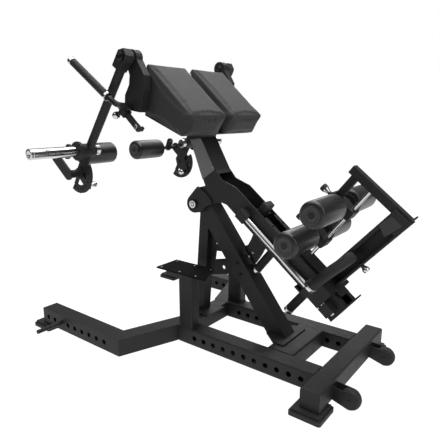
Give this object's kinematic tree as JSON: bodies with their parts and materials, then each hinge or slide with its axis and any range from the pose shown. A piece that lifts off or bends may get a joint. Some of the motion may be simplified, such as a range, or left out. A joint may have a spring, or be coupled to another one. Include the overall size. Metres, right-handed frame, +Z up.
{
  "type": "glute ham developer",
  "caption": "Glute ham developer: tilting beam with split hip pads and plate-loaded swing arms at its head, and a sliding foot carriage with ankle rollers.",
  "frame": {"origin": "on the floor in the middle of the machine's bounding box", "axes": "+X from the front feet towards the transport wheels, +Y across the machine to the far side, +Z up"},
  "size_m": [1.7118, 1.304, 1.3474],
  "materials": {
    "powder": "black textured powder coat",
    "vinyl": "matte dark grey upholstery",
    "foam": "matte black closed-cell foam skin with hard end caps",
    "rubber": "matte black rubber",
    "chrome": "polished",
    "knurled_black": "knurled black steel with polished end rings",
    "plate_grey": "satin grey, bare"
  },
  "bodies": {
    "base": {"rear_crossbar": "powder", "front_crossmember": "powder", "mid_crossmember": "powder", "brace": "powder", "upright": "powder", "gusset_web": "powder", "main_pivot_shaft": "chrome", "step_tread": "powder", "step_cap": "powder", "rail_near": "powder", "outrigger_near": "powder", "foot_rear_near": "rubber", "foot_front_near": "rubber", "step_post_near": "powder", "rail_far": "powder", "outrigger_far": "powder", "foot_rear_far": "rubber", "foot_front_far": "rubber", "step_post_far": "powder"},
    "beam": {"main_beam": "powder", "name_plate": "plate_grey", "selector_plate": "powder", "rubber_bumper": "rubber", "beam_grip": "knurled_black", "pad_frame": "powder", "guide_rod_near": "chrome", "pad_near": "vinyl", "arm_shaft_near": "chrome", "guide_rod_far": "chrome", "pad_far": "vinyl", "arm_shaft_far": "chrome"},
    "tilt_pin": {"selector_pin": "chrome"},
    "carriage": {"foot_carriage": "powder", "slide_rod": "chrome", "carriage_grip": "knurled_black"},
    "foot_pin": {"foot_arm_pin": "chrome"},
    "lower_block": {"lower_roller_block": "powder"},
    "lower_pin": {"lower_block_pin": "chrome"},
    "lower_near_roller": {"lower_roller_near": "foam"},
    "lower_far_roller": {"lower_roller_far": "foam"},
    "upper_block": {"upper_roller_block": "powder"},
    "upper_pin": {"upper_block_pin": "chrome"},
    "upper_near_roller": {"upper_roller_near": "foam"},
    "upper_far_roller": {"upper_roller_far": "foam"},
    "near_wheel": {"wheel_near": "rubber"},
    "near_arm": {"swing_arm_near": "powder", "sleeve_near": "chrome"},
    "near_bracket": {"roller_bracket_near": "powder"},
    "near_arm_roller": {"arm_roller_near": "foam"},
    "near_angle_pin": {"angle_pin_near": "chrome"},
    "near_grip": {"hand_grip_near": "knurled_black"},
    "far_wheel": {"wheel_far": "rubber"},
    "far_arm": {"swing_arm_far": "powder", "sleeve_far": "chrome"},
    "far_bracket": {"roller_bracket_far": "powder"},
    "far_arm_roller": {"arm_roller_far": "foam"},
    "far_angle_pin": {"angle_pin_far": "chrome"},
    "far_grip": {"hand_grip_far": "knurled_black"}
  },
  "joints": [
    {"name": "beam_tilt", "type": "hinge", "parent": "base", "child": "beam", "pos_m": [-0.1297, 0, 0.6655], "axis": [0, 1, 0], "range_deg": [-13.5, 0]},
    {"name": "tilt_pin_pull", "type": "slide", "parent": "base", "child": "tilt_pin", "axis": [0, 1, 0], "range_m": [0, 0.018], "stiffness_N_per_m": 300, "springref_m": -0.01},
    {"name": "carriage_slide", "type": "slide", "parent": "beam", "child": "carriage", "axis": [-0.7826, 0, 0.6225], "range_m": [0, 0.125]},
    {"name": "foot_pin_pull", "type": "slide", "parent": "carriage", "child": "foot_pin", "axis": [0.7826, 0, -0.6225], "range_m": [0, 0.012], "stiffness_N_per_m": 300, "springref_m": -0.01},
    {"name": "lower_block_slide", "type": "slide", "parent": "carriage", "child": "lower_block", "axis": [0.6225, 0, 0.7826], "range_m": [-0.025, 0.025]},
    {"name": "lower_pin_pull", "type": "slide", "parent": "lower_block", "child": "lower_pin", "axis": [-0.7826, 0, 0.6225], "range_m": [0, 0.015], "stiffness_N_per_m": 300, "springref_m": -0.01},
    {"name": "lower_near_roller_spin", "type": "hinge", "parent": "lower_block", "child": "lower_near_roller", "pos_m": [0.47767, -0.16, 0.6066], "axis": [0, 1, 0], "continuous": true},
    {"name": "lower_far_roller_spin", "type": "hinge", "parent": "lower_block", "child": "lower_far_roller", "pos_m": [0.47767, 0.16, 0.6066], "axis": [0, 1, 0], "continuous": true},
    {"name": "upper_block_slide", "type": "slide", "parent": "carriage", "child": "upper_block", "axis": [0.6225, 0, 0.7826], "range_m": [-0.025, 0.075]},
    {"name": "upper_pin_pull", "type": "slide", "parent": "upper_block", "child": "upper_pin", "axis": [-0.7826, 0, 0.6225], "range_m": [0, 0.015], "stiffness_N_per_m": 300, "springref_m": -0.01},
    {"name": "upper_near_roller_spin", "type": "hinge", "parent": "upper_block", "child": "upper_near_roller", "pos_m": [0.58039, -0.16, 0.73573], "axis": [0, 1, 0], "continuous": true},
    {"name": "upper_far_roller_spin", "type": "hinge", "parent": "upper_block", "child": "upper_far_roller", "pos_m": [0.58039, 0.16, 0.73573], "axis": [0, 1, 0], "continuous": true},
    {"name": "near_wheel_spin", "type": "hinge", "parent": "base", "child": "near_wheel", "pos_m": [0.7425, -0.196, 0.0473], "axis": [0, 1, 0], "continuous": true},
    {"name": "near_arm_swing", "type": "hinge", "parent": "beam", "child": "near_arm", "pos_m": [-0.2442, -0.348, 1.3134], "axis": [0, 1, 0], "range_deg": [0, 80]},
    {"name": "near_bracket_turn", "type": "hinge", "parent": "near_arm", "child": "near_bracket", "pos_m": [-0.59759, -0.359, 0.80631], "axis": [0, 1, 0], "range_deg": [-51, 34]},
    {"name": "near_arm_roller_spin", "type": "hinge", "parent": "near_bracket", "child": "near_arm_roller", "pos_m": [-0.69036, -0.18, 0.88555], "axis": [0, 1, 0], "continuous": true},
    {"name": "near_angle_pin_pull", "type": "slide", "parent": "near_arm", "child": "near_angle_pin", "axis": [0, 1, 0], "range_m": [0, 0.012], "stiffness_N_per_m": 300, "springref_m": -0.01},
    {"name": "near_grip_slide", "type": "slide", "parent": "beam", "child": "near_grip", "axis": [0.7501, 0, -0.6613], "range_m": [0, 0.06]},
    {"name": "far_wheel_spin", "type": "hinge", "parent": "base", "child": "far_wheel", "pos_m": [0.7425, 0.196, 0.0473], "axis": [0, 1, 0], "continuous": true},
    {"name": "far_arm_swing", "type": "hinge", "parent": "beam", "child": "far_arm", "pos_m": [-0.2442, 0.348, 1.3134], "axis": [0, 1, 0], "range_deg": [0, 80]},
    {"name": "far_bracket_turn", "type": "hinge", "parent": "far_arm", "child": "far_bracket", "pos_m": [-0.59759, 0.359, 0.80631], "axis": [0, 1, 0], "range_deg": [-51, 34]},
    {"name": "far_arm_roller_spin", "type": "hinge", "parent": "far_bracket", "child": "far_arm_roller", "pos_m": [-0.69036, 0.18, 0.88555], "axis": [0, 1, 0], "continuous": true},
    {"name": "far_angle_pin_pull", "type": "slide", "parent": "far_arm", "child": "far_angle_pin", "axis": [0, -1, 0], "range_m": [0, 0.012], "stiffness_N_per_m": 300, "springref_m": -0.01},
    {"name": "far_grip_slide", "type": "slide", "parent": "beam", "child": "far_grip", "axis": [0.7501, 0, -0.6613], "range_m": [0, 0.06]}
  ]
}
